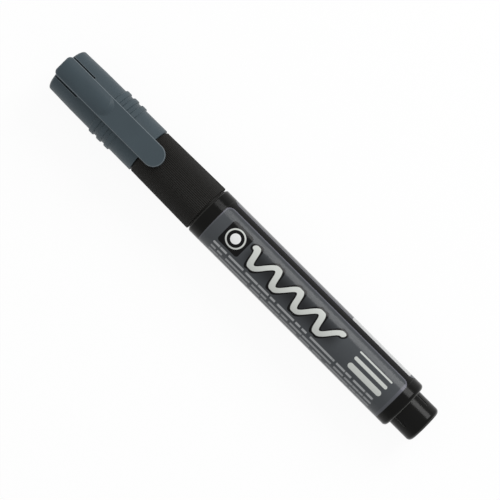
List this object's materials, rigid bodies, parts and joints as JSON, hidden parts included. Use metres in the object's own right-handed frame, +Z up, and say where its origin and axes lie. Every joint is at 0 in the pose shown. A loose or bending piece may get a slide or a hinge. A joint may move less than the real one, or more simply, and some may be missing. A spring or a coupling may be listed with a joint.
{
  "type": "paint marker",
  "caption": "Capped pump-action paint marker with a pocket clip on its ringed cap, a ribbed grip, a film label round its barrel and a sprung bullet nib.",
  "frame": {"origin": "on the table, under the middle of the marker's length, with the marker lying on its side and its clip up", "axes": "+X along the marker's axis from the tail to the nib, +Z up, from the axis towards the clip, +Y to the left of someone who looks along +X"},
  "size_m": [0.138, 0.0152, 0.0179],
  "materials": {
    "cap_plastic": "satin blue-grey moulded plastic",
    "liner_plastic": "natural milky moulded plastic",
    "grip_plastic": "matt black moulded plastic",
    "barrel_plastic": "gloss black moulded plastic",
    "plug_plastic": "satin black moulded plastic",
    "label_film": "charcoal printed film with a soft gloss",
    "nib_fibre": "pressed fibre",
    "valve_plastic": "natural white moulded plastic",
    "seal_rubber": "soft black rubber",
    "spring_steel": "drawn stainless wire",
    "ball_steel": "polished steel"
  },
  "bodies": {
    "barrel": {"barrel": "barrel_plastic", "label": "label_film", "tail_plug": "plug_plastic", "grip_section": "grip_plastic", "nib_holder": "grip_plastic", "valve_seat": "valve_plastic", "valve_gasket": "seal_rubber", "spring_cage": "valve_plastic", "valve_spring": "spring_steel"},
    "cap": {"cap_shell": "cap_plastic", "inner_cap": "liner_plastic", "clip_root": "cap_plastic"},
    "clip": {"clip_arm": "cap_plastic"},
    "nib": {"nib": "nib_fibre", "valve_stem": "valve_plastic"},
    "ball": {"mixing_ball": "ball_steel"}
  },
  "joints": [
    {"name": "cap_pull", "type": "slide", "parent": "barrel", "child": "cap", "axis": [1, 0, 0], "range_m": [0, 0.036]},
    {"name": "clip_flex", "type": "hinge", "parent": "cap", "child": "clip", "pos_m": [0.06014, 0, 0.01793], "axis": [0, 1, 0], "range_deg": [0, 3.5], "stiffness_Nm_per_rad": 0.2, "springref_deg": -1.72},
    {"name": "nib_press", "type": "slide", "parent": "barrel", "child": "nib", "axis": [-1, 0, 0], "range_m": [0, 0.0022], "stiffness_N_per_m": 300, "springref_m": -0.002, "deforming": ["valve_spring"]},
    {"name": "ball_run", "type": "slide", "parent": "barrel", "child": "ball", "axis": [1, 0, 0], "range_m": [-0.0274, 0.0274]}
  ]
}
